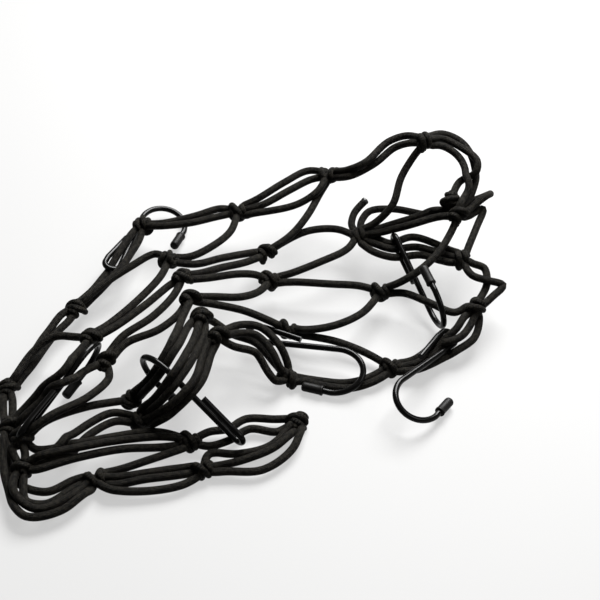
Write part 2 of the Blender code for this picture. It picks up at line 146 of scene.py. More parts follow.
# Strands: from, to, and the points between as column, row, rise over the line between the two heights.
STRANDS = (
    ("far_1", "far_2", ((160, 226, 3), (190, 223, 4), (216, 217, 2))),
    ("far_1", "far_2", ((165, 223, 2), (195, 216, 3), (220, 209, 2))),
    ("far_2", "far_3", ((258, 199, 3), (285, 182, 4), (308, 171, 2))),
    ("far_2", "far_3", ((262, 205, 2), (290, 190, 2), (312, 179, 0))),
    ("far_2", "far_3", ((268, 211, 0), (298, 204, -1), (318, 191, 0))),
    ("far_3", "far_4", ((348, 171, 2), (366, 162, 4), (388, 142, 4), (406, 136, 2))),
    ("far_3", "far_4", ((350, 175, 0), (374, 164, 1), (394, 148, 1), (408, 143, 0))),
    ("far_4", "right_1", ((442, 134, 2), (460, 141, 4), (471, 155, 4), (475, 177, 2), (470, 197, 0))),
    ("far_4", "right_1", ((440, 144, 0), (456, 154, 0), (467, 170, 0), (470, 186, 0), (465, 201, 0))),
    ("far_4", "right_2", ((442, 139, 1), (462, 148, 2), (477, 161, 4), (475, 172, 4), (460, 181, 2))),
    ("far_4", "mid_4", ((413, 157, 0), (401, 178, 0), (393, 204, 0), (378, 221, 0))),
    ("far_3", "mid_1", ((320, 193, 0), (307, 216, 2), (291, 235, 2))),
    ("far_2", "ridge_1", ((230, 232, 2), (211, 247, 3), (190, 257, 2))),
    ("ridge_1", "mid_1", ((195, 264, 3), (222, 258, 4), (246, 254, 2))),
    ("ridge_2", "mid_1", ((202, 273, 2), (220, 268, 2), (246, 262, 0))),
    ("ridge_2", "mid_2", ((206, 278, 2), (238, 274, 3), (256, 275, 2))),
    ("ridge_3", "mid_2", ((212, 297, 1), (240, 297, 2), (258, 292, 1))),
    ("ridge_3", "mid_3", ((214, 304, 1), (245, 311, 3), (272, 322, 2))),
    ("mid_1", "mid_4", ((282, 243, 2), (308, 231, 3), (336, 229, 2))),
    ("mid_2", "mid_4", ((290, 274, 2), (320, 262, 3), (346, 250, 2))),
    ("mid_2", "mid_5", ((298, 282, 2), (330, 284, 3), (360, 286, 2))),
    ("mid_3", "mid_5", ((308, 330, 2), (336, 325, 3), (362, 313, 2))),
    ("mid_3", "right_5", ((306, 335, 1), (338, 342, 1), (368, 354, 0))),
    ("mid_4", "right_1", ((384, 232, 0), (410, 225, 2), (438, 217, 1))),
    ("mid_4", "right_1", ((384, 227, -2), (410, 219, -2), (438, 212, -1))),
    ("mid_4", "right_1", ((361, 222, -6), (370, 211, -9), (392, 209, -12), (424, 214, -8))),
    ("mid_5", "right_1", ((401, 282, 3), (420, 270, 4), (438, 253, 2), (451, 232, 0))),
    ("mid_5", "right_4", ((404, 293, 2), (430, 303, 3), (455, 313, 2))),
    ("mid_4", "right_3", ((376, 238, -1), (389, 243, -1), (412, 237, -4), (438, 245, -2))),
    ("mid_4", "right_3", ((374, 243, -2), (392, 249, -3), (416, 247, -5), (440, 253, -3))),
    ("mid_4", "right_3", ((371, 250, -3), (392, 257, -5), (420, 255, -7), (442, 260, -4))),
    ("right_1", "right_2", ((472, 206, 0), (486, 196, 1), (490, 194, -4), (474, 200, -7))),
    ("right_1", "right_3", ((470, 213, 0), (483, 209, 0), (477, 226, 0), (469, 245, 0))),
    ("right_3", "right_4", ((473, 264, 1), (484, 268, 1), (487, 283, 0), (482, 297, 0))),
    ("right_3", "right_4", ((472, 275, 0), (490, 281, 0), (503, 285, -1), (490, 298, 0))),
    ("right_4", "right_5", ((464, 317, 2), (457, 328, 3), (438, 345, 2), (412, 361, 0))),
    ("right_4", "right_5", ((471, 323, 0), (463, 335, 0), (444, 348, 0), (414, 364, 0))),
    ("right_4", "right_5", ((478, 323, -2), (474, 338, -3), (448, 354, -2), (417, 369, 0))),
    ("right_5", "near_5", ((374, 376, 0), (348, 383, 0), (318, 381, 0))),
    ("right_5", "near_5", ((374, 381, 0), (350, 388, 0), (318, 385, 0))),
    ("ridge_5", "near_5", ((240, 325, -2), (260, 327, 0), (280, 346, 2), (287, 364, 0))),
    ("ridge_5", "near_5", ((238, 333, 0), (256, 335, 3), (271, 350, 4), (280, 368, 2))),
    ("ridge_5", "near_5", ((234, 346, 0), (256, 353, 0), (265, 367, 0), (275, 380, 0))),
    ("ridge_4", "near_5", ((214, 322, -4), (232, 334, -4), (256, 343, 0), (272, 360, 0))),
    ("ridge_1", "left_1", ((155, 254, 2), (130, 267, 3), (100, 287, 2))),
    ("ridge_1", "left_2", ((160, 277, 2), (138, 300, 2), (112, 322, 1))),
    ("ridge_2", "left_2", ((169, 286, -2), (144, 306, -1), (114, 327, 0))),
    ("ridge_2", "left_3", ((173, 296, 1), (152, 317, 2), (121, 338, 2))),
    ("ridge_3", "left_3", ((178, 315, 1), (158, 330, 1), (126, 343, 1))),
    ("ridge_3", "left_4", ((183, 316, 9), (170, 346, 23), (150, 378, 15))),
    ("ridge_4", "left_4", ((189, 327, 8), (174, 351, 21), (154, 381, 15))),
    ("ridge_4", "left_5", ((196, 334, 8), (180, 365, 20), (158, 395, 14))),
    ("ridge_4", "left_5", ((203, 335, 6), (187, 367, 18), (162, 400, 12))),
    ("ridge_5", "left_5", ((205, 349, 7), (194, 381, 14), (166, 409, 9))),
    ("ridge_5", "left_5", ((212, 350, 5), (200, 383, 11), (170, 413, 7))),
    ("far_1", "left_1", ((133, 233, 0), (113, 262, 0), (94, 289, 0))),
    ("far_1", "left_1", ((139, 240, 0), (121, 266, 0), (100, 290, 0))),
    ("left_1", "corner_1", ((63, 314, 2), (47, 334, 2), (25, 366, 1))),
    ("left_1", "corner_1", ((69, 320, 0), (51, 338, 0), (29, 369, 0))),
    ("left_2", "corner_1", ((76, 337, 2), (54, 337, 4), (33, 352, 4))),
    ("left_2", "corner_2", ((79, 352, 10), (61, 374, 14), (34, 399, 6))),
    ("left_3", "corner_2", ((90, 368, 7), (66, 382, 15), (36, 406, 7))),
    ("left_3", "corner_3", ((109, 377, 0), (88, 397, 4), (50, 416, 8))),
    ("left_4", "corner_3", ((114, 402, 2), (86, 407, 5), (48, 420, 8))),
    ("corner_1", "corner_2", ((4, 400, 0), (4, 413, 0))),
    ("corner_1", "corner_2", ((12, 401, 0), (12, 413, 0))),
    ("corner_2", "near_1", ((3, 445, 0), (7, 484, 0), (26, 516, 0), (62, 510, 0))),
    ("corner_3", "corner_4", ((14, 450, 0),)),
    ("corner_3", "corner_4", ((25, 451, 0),)),
    ("corner_4", "near_1", ((14, 480, 2), (15, 496, 2), (36, 509, 2), (70, 497, 1))),
    ("corner_4", "near_1", ((23, 484, 0), (26, 501, 0), (46, 504, 0), (72, 490, 0))),
    ("corner_2", "near_1", ((7, 454, -4), (18, 483, -4), (46, 492, -2), (73, 482, -1))),
    ("left_5", "corner_4", ((114, 413, 3), (90, 423, 4), (54, 451, 5))),
    ("left_5", "corner_4", ((116, 421, 0), (90, 434, 2), (58, 457, 3))),
    ("corner_3", "near_2", ((34, 449, -2), (72, 445, 2), (112, 437, 3), (158, 432, 2))),
    ("corner_4", "near_2", ((40, 457, 5), (80, 447, 7), (122, 440, 5), (162, 437, 3))),
    ("corner_4", "near_2", ((38, 468, 2), (80, 457, 3), (122, 449, 2), (162, 447, 1))),
    ("near_1", "near_2", ((112, 473, 1), (140, 463, 2), (168, 453, 1))),
    ("near_1", "near_3", ((114, 478, 1), (146, 473, 2), (178, 469, 1))),
    ("near_1", "near_3", ((114, 484, 0), (146, 479, 1), (178, 475, 0))),
    ("near_1", "near_3", ((112, 489, 0), (148, 491, 0), (184, 484, 0))),
    ("near_2", "near_4", ((209, 432, 0), (228, 429, 0), (246, 419, 0), (278, 420, 0))),
    ("near_2", "near_4", ((209, 446, 0), (230, 440, 0), (250, 429, 0), (278, 432, 0))),
    ("near_3", "near_4", ((210, 454, 1), (236, 454, 2), (268, 447, 1))),
    ("near_3", "near_4", ((220, 466, 0), (246, 459, 0), (276, 446, 0))),
    ("near_3", "near_4", ((226, 471, 0), (262, 470, 0), (292, 449, 0))),
)

# Cut end: the point it grows from inside a knot, then points as column, row, height.
TAILS = (
    ((358, 235, 25), (352, 224, 25), (355, 212, 27), (365, 201, 31)),
)

# Hooks: eye end, far end of the straight shank's line, and wire end, each as column, row, height, then
# how far the end of the eye's free leg stands off the shank. A hook is flat, and its leg is on the side
# of the shank away from the tip.
HOOKS = (
    ("hook_1", (118, 271, 14), (149, 203, 10), (174, 247, 5), 4.5),
    ("hook_2", (394, 233, 34), (441, 334, 2), (423, 268, 44), 8.5),
    ("hook_3", (458, 341, 9), (386, 391, 24), (450, 401, 4), 5.7),
    ("hook_4", (246, 340, 12), (367, 352, 17), (302, 386, 4), 4.5),
    ("hook_5", (240, 444, 6), (149, 352, 50), (182, 407, 4), 11.0),
    ("hook_6", (20, 440, 10), (95, 340, 42), (64, 397, 3), 5.7),
)

# Easing of the strands along the sight lines, as in the source too.
EASE_PACE = 0.7  # share of its push that a place moves in one round
EASE_BLEND = 0.4  # share of the neighbours' mean in each round's result
EASE_LEVEL = 1e-3  # strands no further apart in depth count as level

# The sheath swells a little over the solids' round section.
SHEATH_RADIUS = 2.7

# Settling of the sheathed cord, in finer steps than the easing.
SETTLE_STEP = 2.0
SETTLE_ROUNDS = 60
SETTLE_REACH = 12.0  # places nearer together than this are compared
SETTLE_BATCH = 400  # places that are compared with all others at once
SETTLE_BLEND = 0.5  # share of the neighbours' mean in each round's result
SETTLE_LEAST = 0.01  # least distance that a push is worked out from
SETTLE_WEIGHT = 1e-6  # count of pushes that a place starts from
SQUEEZE = 0.9  # share of its thickness that the cord keeps near a knot
KNOT_GRIP = 2.0  # cord this near a knot's middle is held, and free from three times as far
KNOT_ROOM = 6.0  # how far a knot reaches from its middle

# Places along half a turn of a hook's eye and of its bend: as few as the solid has, and more for its look.
EYE_TURNS, BEND_TURNS = 7, 11
FINE_EYE_TURNS, FINE_BEND_TURNS = 25, 49

# Rounding of the wire where straight runs meet, and the step along it.
WIRE_CORNER = 4.0
WIRE_STEP = 1.2

# One wrap of a knot: distance from the knot's axis, degrees round it, and distance along it.
WRAP = (
    (0.6, -135, -6.2),
    (2.6, -110, -5.8),
    (4.8, -82, -4.8),
    (5.9, -50, -3.2),
    (5.7, -15, -1.0),
    (5.0, 25, 1.3),
    (4.2, 65, 2.7),
    (3.7, 115, 3.3),
    (3.6, 170, 3.4),
    (3.6, 225, 3.4),
    (3.6, 280, 3.4),
    (3.7, 335, 3.7),
    (3.5, 385, 4.5),
    (2.4, 430, 5.4),
    (0.6, 465, 6.0),
)
WRAP_RADIUS = 2.15
WRAP_STEP = 1.0

# How the wraps are turned about their knot's axis, in degrees, and where they lie.
SECOND_WRAP = 125.0  # from the first wrap on to the second
ROLL_STEP = 47.0  # from one knot's roll to the next one's
ROLL_SPAN = 110.0  # between the least roll and the greatest
SIDE_LIFT = 0.6  # how far the side that faces the view is tipped upward
KNOT_LOW = 5.1  # least height of the middle that the wraps go round

# Knots that the view shows clearly: degrees that they are rolled, degrees on to the second wrap, an axis
# where the strands' mean way isn't it, how wide they are wound, and how near together the wraps lie.
SEEN_KNOTS = {
    "far_4": (-165.0, -30.0, None, 1.2, 0.6),
    "right_3": (-165.0, -30.0, (0.98, 0.15, 0.1), 1.15, 0.7),
    "right_2": (-20.0, SECOND_WRAP, (0.25, 0.63, 0.73), 1.0, 0.85),
}

# Cap: share of its length from the mouth, and share of its radius.
CAP_PROFILE = (
    (0.0, 0.61),
    (0.002, 0.95),
    (0.012, 1.0),
    (0.03, 1.03),
    (0.09, 1.03),
    (0.105, 1.01),
    (0.118, 0.96),
    (0.13, 0.95),
    (0.4, 0.955),
    (0.7, 0.965),
    (0.85, 0.97),
    (0.9, 0.95),
    (0.94, 0.89),
    (0.97, 0.77),
    (0.99, 0.57),
    (0.998, 0.32),
    (1.0, 0.05),
)

# Melted end of a cut cord: distance past the cut in cord radii, and share of its radius.
MELTED_END = ((-0.8, 0.9), (-0.5, 1.02), (0.0, 1.08), (0.3, 1.02), (0.5, 0.82), (0.62, 0.5), (0.66, 0.1))

# The finishes. Shares are of the piece's own colour.
FLECK_SCALE = 520.0
FLECK_FLOOR = 0.36  # no yarn crown is lightened where the noise is below this
FLECK_GAIN = 3.6
CROWN_HIGHLIGHT_SHARE = 5.0  # a flecked yarn's crown: painted highlight, partly wear
HOLLOW_SHADE_SHARE = 0.3  # the hollows between the yarns, where it is painted shade, and unflecked yarns
YARN_HEIGHT = 0.00022  # in metres
MELTED_COLOUR = (0.004, 0.004, 0.0038)
COAT_ROUGHNESS = (0.14, 0.26)  # where the wire's coat is smoothest and roughest
CAP_SHARES = (0.7, 1.4)  # the darkest and lightest of a cap

# The stage, in metres. Lights: name, place, side, and the setting that holds the power.
FLOOR_DROP = 0.0002  # the floor lies this far under the part
GLOW_TINT = (1.0, 0.998, 0.993, 1.0)
LIGHTS = (
    ("key_light", (0.3, 0.75, 0.95), 0.8, "key_power"),
    ("fill_light", (1.3, -0.3, 1.2), 0.9, "fill_power"),
)


def place(column, row, height):
    """The point, in millimetres, that the photo shows at this column and row and at this height."""
    up = math.cos(SIGHT_TILT)
    down = math.sin(SIGHT_TILT)
    rise = (FRAME_MIDDLE - row) / SIGHT_SCALE
    y = (rise * (SIGHT_DISTANCE - height * down) - height * up) / (down - rise * up)
    depth = SIGHT_DISTANCE + y * up - height * down
    x = (column - FRAME_MIDDLE) / SIGHT_SCALE * depth
    return np.array((x - LIE_MIDDLE[0], y - LIE_MIDDLE[1], height))


def eye_point():
    """Where the sight lines meet."""
    y = -SIGHT_DISTANCE * math.cos(SIGHT_TILT) - LIE_MIDDLE[1]
    return np.array((-LIE_MIDDLE[0], y, SIGHT_DISTANCE * math.sin(SIGHT_TILT)))


def mix(low, high, t, a, b):
    """The value at t on the line that runs from a at low to b at high."""
    return ((high - t) * a + (t - low) * b) / (high - low)


def smooth(points, step):
    """A centripetal Catmull-Rom curve through the points, with a place about every step."""
    points = [np.asarray(point, float) for point in points]
    points = [2 * points[0] - points[1], *points, 2 * points[-1] - points[-2]]
    curve = []
    for p0, p1, p2, p3 in zip(points, points[1:], points[2:], points[3:]):
        t1 = math.sqrt(np.linalg.norm(p1 - p0))
        t2 = t1 + math.sqrt(np.linalg.norm(p2 - p1))
        t3 = t2 + math.sqrt(np.linalg.norm(p3 - p2))
        count = max(2, round(np.linalg.norm(p2 - p1) / step))
        for t in np.linspace(t1, t2, count, endpoint=False):
            a1 = mix(0.0, t1, t, p0, p1)
            a2 = mix(t1, t2, t, p1, p2)
            a3 = mix(t2, t3, t, p2, p3)
            b1 = mix(0.0, t2, t, a1, a2)
            b2 = mix(t1, t3, t, a2, a3)
            curve.append(mix(t1, t2, t, b1, b2))
    curve.append(points[-2])
    return np.array(curve)


def strand_curve(knots, heights, start, end, between, step):
    """The run of cord from one knot to another through the places between them."""
    points = [knots[start]]
    for count, (column, row, rise) in enumerate(between, 1):
        share = count / (len(between) + 1)
        height = heights[start] * (1 - share) + heights[end] * share + rise
        points.append(place(column, row, max(height, CORD_RADIUS)))
    points.append(knots[end])
    return smooth(points, step)


def hook_run(leg_end, eye_turns, bend_turns):
    """One hook's wire from its free leg to its tip: how far along the shank and across it."""
    centre = HOOK_LENGTH - BEND_DEPTH
    run = [(EYE_LEG, -leg_end), (EYE_RADIUS + EYE_FLARE, LEG_SINK - 2 * EYE_RADIUS)]
    for turn in np.linspace(0.0, math.pi, eye_turns):
        run.append((EYE_RADIUS * (1 - math.sin(turn)), -EYE_RADIUS * (1 + math.cos(turn))))
    for turn in np.linspace(0.0, math.pi, bend_turns):
        run.append((centre + BEND_DEPTH * math.sin(turn), BEND_RADIUS * (1 - math.cos(turn))))
    run.append((centre - TIP_RUN, 2 * BEND_RADIUS - TIP_TURN_IN))
    return run


def hook_path(eye, far, tip, leg_end, eye_turns=EYE_TURNS, bend_turns=BEND_TURNS):
    """The wire of one hook where it lies, as the solid's own few points or with finer turns."""
    start = place(*eye)
    along = place(*far) - start
    along /= np.linalg.norm(along)
    across = place(*tip) - start
    across -= along * (across @ along)
    across /= np.linalg.norm(across)
    coarse, path = (
        np.array([start + along * a + across * b for a, b in hook_run(leg_end, *turns)])
        for turns in ((EYE_TURNS, BEND_TURNS), (eye_turns, bend_turns))
    )
    sunk = max(WIRE_RADIUS - coarse[:, 2].min(), CAP_RADIUS + 2 * GAP - coarse[-5:, 2].min())
    if sunk > 0:
        path += toward_eye(path) * sunk / math.sin(SIGHT_TILT)
    return path


def toward_eye(points):
    """Unit vectors from the points along their sight lines."""
    lines = eye_point() - points
    return lines / np.linalg.norm(lines, axis=1)[:, None]


def dense(path, step):
    """The straight runs of a path cut into short steps."""
    points = []
    for start, end in zip(path, path[1:]):
        count = max(1, round(np.linalg.norm(end - start) / step))
        points += [start + (end - start) * k / count for k in range(count)]
    return np.array(points + [path[-1]])


def inner_places(owner):
    """Which places have neighbours of their own strand on both sides."""
    inner = np.ones(len(owner), bool)
    inner[0] = inner[-1] = False
    inner[:-1] &= owner[1:] == owner[:-1]
    inner[1:] &= owner[1:] == owner[:-1]
    return inner


def blended(shift, inner, share):
    """The shifts, with this share of the mean over each inner place and its neighbours."""
    inside = np.flatnonzero(inner)
    blend = shift.copy()
    blend[inside] = (shift[inside - 1] + 2 * shift[inside] + shift[inside + 1]) / 4
    return (1 - share) * shift + share * blend


def ease_apart(curves, knots, wires):
    """Moves strands that run through each other, or through a hook, apart along the sight lines.

    That leaves the lie as the photo shows it. A strand keeps its ends in its knots and stays above the
    table, and the hooks do not move.
    """
    owner = np.concatenate([np.full(len(curve), i) for i, curve in enumerate(curves)])
    base = np.concatenate(curves)
    sight = toward_eye(base)
    shift = np.zeros(len(base))
    middles = np.array(list(knots.values()))
    to_knot = np.linalg.norm(base[:, None] - middles[None], axis=2).min(axis=1)
    free = np.clip((to_knot - KNOT_HALF) / KNOT_HALF, 0.0, 1.0)
    wire = np.concatenate([dense(path, EASE_STEP) for path in wires])
    inner = inner_places(owner)
    for _ in range(EASE_ROUNDS):
        now = base + sight * shift[:, None]
        push = np.zeros(len(base))
        weight = np.zeros(len(base))
        for others, own, room, fixed in (
            (now, owner, 2 * CORD_RADIUS + GAP, False),
            (wire, None, CORD_RADIUS + WIRE_RADIUS + GAP, True),
        ):
            apart = now[:, None] - others[None]
            near = (apart**2).sum(axis=2) < room**2
            if own is not None:
                near &= owner[:, None] != own[None]
            rows, columns = np.nonzero(near)
            gaps = apart[rows, columns]
            depth = (gaps * sight[rows]).sum(axis=1)
            beside = (gaps**2).sum(axis=1) - depth**2
            need = np.sqrt(np.clip(room**2 - beside, 0.0, None))
            side = np.sign(depth)
            if own is not None:
                tie = np.abs(depth) < EASE_LEVEL
                side[tie] = np.sign(owner[rows] - own[columns])[tie]
            move = side * need - depth
            np.add.at(push, rows, move if fixed else move / 2)
            np.add.at(weight, rows, 1.0)
        shift += free * push / np.maximum(weight, 1.0) * EASE_PACE
        shift = np.where(inner & (free > 0), blended(shift, inner, EASE_BLEND), 0.0)
        low = CORD_RADIUS - PRESSED - base[:, 2]
        shift = np.maximum(shift, low / sight[:, 2])
    eased = base + sight * shift[:, None]
    return [eased[owner == i] for i in range(len(curves))]


def knot_axis(middle, ends):
    """The direction that most strands leave a knot along."""
    spread = np.array([(end - middle) / np.linalg.norm(end - middle) for end in ends])
    return np.linalg.svd(spread)[2][0]


def settle(curves, knots, wires):
    """Pushes the finely stepped strands apart in every direction where they still meet."""
    fine = [smooth(curve, SETTLE_STEP) for curve in curves]
    owner = np.concatenate([np.full(len(curve), i) for i, curve in enumerate(fine)])
    base = np.concatenate(fine)
    middles = np.array(list(knots.values()))
    to_knots = np.linalg.norm(base[:, None] - middles[None], axis=2)
    to_knot = to_knots.min(axis=1)
    free = np.clip((to_knot - KNOT_GRIP) / (2 * KNOT_GRIP), 0.0, 1.0)
    names = list(knots)
    tied = np.zeros(to_knots.shape, bool)
    for i, (start, end, _) in enumerate(STRANDS):
        tied[owner == i, names.index(start)] = True
        tied[owner == i, names.index(end)] = True
    wire = np.concatenate([dense(path, SETTLE_STEP) for path in wires])
    first, second = [], []
    for i in range(0, len(base), SETTLE_BATCH):
        apart = np.linalg.norm(base[i : i + SETTLE_BATCH, None] - base[None], axis=2)
        rows, columns = np.nonzero(apart < SETTLE_REACH)
        rows += i
        keep = (rows < columns) & (owner[rows] != owner[columns])
        first.append(rows[keep])
        second.append(columns[keep])
    first, second = np.concatenate(first), np.concatenate(second)
    by_wire, of_wire = np.nonzero(np.linalg.norm(base[:, None] - wire[None], axis=2) < SETTLE_REACH)
    by_knot, of_knot = np.nonzero((to_knots < SETTLE_REACH) & ~tied)
    near_a_knot = np.minimum(to_knot[first], to_knot[second]) < 2 * SETTLE_REACH
    room = 2 * SHEATH_RADIUS * np.where(near_a_knot, SQUEEZE, 1.0)
    inner = inner_places(owner)
    shift = np.zeros(base.shape)
    for _ in range(SETTLE_ROUNDS):
        now = base + shift
        push = np.zeros(base.shape)
        weight = np.full(len(base), SETTLE_WEIGHT)
        for rows, places, wanted, share in (
            (first, now[second], room, 0.5),
            (second, now[first], room, 0.5),
            (by_wire, wire[of_wire], SHEATH_RADIUS + WIRE_RADIUS, 1.0),
            (by_knot, middles[of_knot], CORD_RADIUS + KNOT_ROOM, 1.0),
        ):
            gap = now[rows] - places
            far = np.linalg.norm(gap, axis=1)
            need = np.clip(wanted - far, 0.0, None)
            move = gap / np.maximum(far, SETTLE_LEAST)[:, None] * (need * share)[:, None]
            np.add.at(push, rows, move)
            np.add.at(weight, rows, need > 0)
        shift += free[:, None] * push / np.maximum(weight, 1.0)[:, None]
        shift = np.where(inner[:, None], blended(shift, inner, SETTLE_BLEND), 0.0)
        low = SHEATH_RADIUS - PRESSED - base[:, 2]
        shift[:, 2] = np.maximum(shift[:, 2], low)
    settled = base + shift
    return [settled[owner == i] for i in range(len(curves))]


@functools.lru_cache(maxsize=1)
def lie():
    """The knots' middles, their axes, every settled strand, and the cut end, in millimetres."""
    heights = {name: height for name, _, _, height in KNOTS}
    knots = {name: place(column, row, height) for name, column, row, height in KNOTS}
    wires = [hook_path(*row[1:]) for row in HOOKS]
    curves = [strand_curve(knots, heights, *row, EASE_STEP) for row in STRANDS]
    curves += [smooth([place(*point) for point in tail], EASE_STEP) for tail in TAILS]
    curves = ease_apart(curves, knots, wires)
    reach = {name: [] for name in knots}
    for curve, (start, end, _) in zip(curves, STRANDS):
        reach[start].append(curve[2])
        reach[end].append(curve[-3])
    axes = {name: knot_axis(knots[name], reach[name]) for name in knots}
    return knots, axes, settle(curves, knots, wires)


def knot_wraps(middle, axis, roll, lead, wide, tight):
    """The two interlocked wraps of a knot, as paths."""
    side = eye_point() - middle
    side = side / np.linalg.norm(side) + np.array((0.0, 0.0, SIDE_LIFT))
    side -= axis * (side @ axis)
    side /= np.linalg.norm(side)
    other = np.cross(axis, side)
    lifted = np.array((middle[0], middle[1], max(middle[2], KNOT_LOW)))
    paths = []
    for turn, way in ((roll, 1.0), (roll + lead, -1.0)):
        points = []
        for away, degrees, along in WRAP:
            angle = math.radians(turn + way * degrees)
            spoke = side * math.cos(angle) + other * math.sin(angle)
            points.append(lifted + spoke * away * wide + axis * along * way * tight)
        paths.append(smooth(points, WRAP_STEP))
    return paths


def add(tree, kind, **settings):
    """A node of this kind, with its settings and the values of its inputs."""
    node = tree.nodes.new(kind)
    for key, value in settings.items():
        if key in node.bl_rna.properties:
            setattr(node, key, value)
        else:
            node.inputs[key.replace("_", " ")].default_value = value
    return node


def maths(tree, operation, a, b=None):
    """The output of a Math node, from sockets or numbers."""
    node = tree.nodes.new("ShaderNodeMath")
    node.operation = operation
    for socket, value in zip(node.inputs, (a, b)):
        if isinstance(value, bpy.types.NodeSocket):
            tree.links.new(value, socket)
        elif value is not None:
            socket.default_value = value
    return node.outputs[0]


@functools.lru_cache(maxsize=1)
def round_on_path():
    """Geometry nodes that draw a round section along each path.

    The thickness of a point scales the section there. Each made point notes how far along its path it is
    and which way round it looks, which the braid of the sheath follows.
    """
    tree = bpy.data.node_groups.new("round_on_path", "GeometryNodeTree")
    face = tree.interface
    face.new_socket("Path", in_out="INPUT", socket_type="NodeSocketGeometry")
    radius = face.new_socket("Radius", in_out="INPUT", socket_type="NodeSocketFloat")
    sides = face.new_socket("Sides", in_out="INPUT", socket_type="NodeSocketInt")
    finish = face.new_socket("Finish", in_out="INPUT", socket_type="NodeSocketMaterial")
    face.new_socket("Mesh", in_out="OUTPUT", socket_type="NodeSocketGeometry")
    link = tree.links.new
    given = add(tree, "NodeGroupInput").outputs
    path = add(tree, "GeometryNodeMeshToCurve")
    link(given["Path"], path.inputs["Mesh"])
    thickness = add(tree, "GeometryNodeInputNamedAttribute", data_type="FLOAT", Name="thickness")
    run = add(tree, "GeometryNodeSplineParameter")
    noted = add(tree, "GeometryNodeStoreNamedAttribute", data_type="FLOAT", domain="POINT", Name="along")
    link(path.outputs["Curve"], noted.inputs["Geometry"])
    link(run.outputs["Length"], noted.inputs["Value"])
    ring = add(tree, "GeometryNodeCurvePrimitiveCircle")
    link(given["Sides"], ring.inputs["Resolution"])
    link(given["Radius"], ring.inputs["Radius"])
    outward = add(tree, "ShaderNodeVectorMath", operation="NORMALIZE")
    link(add(tree, "GeometryNodeInputPosition").outputs["Position"], outward.inputs[0])
    round_it = add(
        tree, "GeometryNodeStoreNamedAttribute", data_type="FLOAT_VECTOR", domain="POINT", Name="around"
    )
    link(ring.outputs["Curve"], round_it.inputs["Geometry"])
    link(outward.outputs["Vector"], round_it.inputs["Value"])
    drawn = add(tree, "GeometryNodeCurveToMesh", Fill_Caps=True)
    link(noted.outputs["Geometry"], drawn.inputs["Curve"])
    link(round_it.outputs["Geometry"], drawn.inputs["Profile Curve"])
    link(thickness.outputs["Attribute"], drawn.inputs["Scale"])
    smoothed = add(tree, "GeometryNodeSetShadeSmooth")
    real = add(tree, "GeometryNodeRealizeInstances")
    painted = add(tree, "GeometryNodeSetMaterial")
    link(drawn.outputs["Mesh"], smoothed.inputs["Geometry"])
    link(smoothed.outputs["Geometry"], real.inputs["Geometry"])
    link(real.outputs["Geometry"], painted.inputs["Geometry"])
    link(given["Finish"], painted.inputs["Material"])
    link(painted.outputs["Geometry"], add(tree, "NodeGroupOutput").inputs["Mesh"])
    return tree, {"radius": radius.identifier, "sides": sides.identifier, "finish": finish.identifier}


def draw(name, paths, radius, sides, finish, nodes, thickness=None):
    """A piece made of a round section along each path, which rides on the part's body."""
    points, edges, thick = [], [], []
    for i, path in enumerate(paths):
        edges += [(len(points) + k, len(points) + k + 1) for k in range(len(path) - 1)]
        points += [tuple(point * MM) for point in path]
        thick += list(thickness[i]) if thickness else [1.0] * len(path)
    guide = bpy.data.meshes.new(name + "_paths")
    guide.from_pydata(points, edges, [])
    guide.attributes.new("thickness", "FLOAT", "POINT").data.foreach_set("value", thick)
    carrier = bpy.data.objects.new(name + "_paths", guide)
    bpy.context.scene.collection.objects.link(carrier)
    tree, sockets = round_on_path()
    modifier = carrier.modifiers.new("round_on_path", "NODES")
    modifier.node_group = tree
    modifier[sockets["radius"]] = radius * MM
    modifier[sockets["sides"]] = sides
    modifier[sockets["finish"]] = finish
    graph = bpy.context.evaluated_depsgraph_get()
    mesh = bpy.data.meshes.new_from_object(carrier.evaluated_get(graph))
    if not mesh.polygons:
        raise RuntimeError(f"{name} has no faces")
    bpy.data.objects.remove(carrier)
    bpy.data.meshes.remove(guide)
    mesh.name = name
    for vertex in mesh.vertices:
        vertex.co.z = max(vertex.co.z, 0.0)
    piece = bpy.data.objects.new(name, mesh)
    bpy.context.scene.collection.objects.link(piece)
    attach(piece, BODY)
    if nodes:
        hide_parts(*nodes)
    return piece


def new_finish(name, colour, roughness):
    """A material with its node tree, its shader, and the colour and roughness set."""
    made = bpy.data.materials.new(name)
    made.use_nodes = True
    shader = made.node_tree.nodes["Principled BSDF"]
    shader.inputs["Base Color"].default_value = (*colour, 1.0)
    shader.inputs["Roughness"].default_value = roughness
    return made, made.node_tree, shader


def bump(tree, shader, height, distance, strength):
    """Raises the shader's surface by the height, which is from 0 to 1, times the distance."""
    relief = tree.nodes.new("ShaderNodeBump")
    relief.inputs["Distance"].default_value = distance
    relief.inputs["Strength"].default_value = strength
    tree.links.new(height, relief.inputs["Height"])
    tree.links.new(relief.outputs["Normal"], shader.inputs["Normal"])


def grain(tree, scale, detail=2.0):
    """Noise on the piece's own coordinates, from 0 to 1."""
    noise = tree.nodes.new("ShaderNodeTexNoise")
    noise.inputs["Scale"].default_value = scale
    noise.inputs["Detail"].default_value = detail
    where = tree.nodes.new("ShaderNodeTexCoord")
    tree.links.new(where.outputs["Object"], noise.inputs["Vector"])
    return noise.outputs["Fac"]


def shades(tree, factor, colour, low, high):
    """The colour, from its low share to its high share by the factor."""
    blend = tree.nodes.new("ShaderNodeMix")
    blend.data_type = "RGBA"
    tree.links.new(factor, blend.inputs["Factor"])
    for end, share in (("A", low), ("B", high)):
        blend.inputs[end].default_value = (*(min(1.0, channel * share) for channel in colour), 1.0)
    return blend.outputs["Result"]


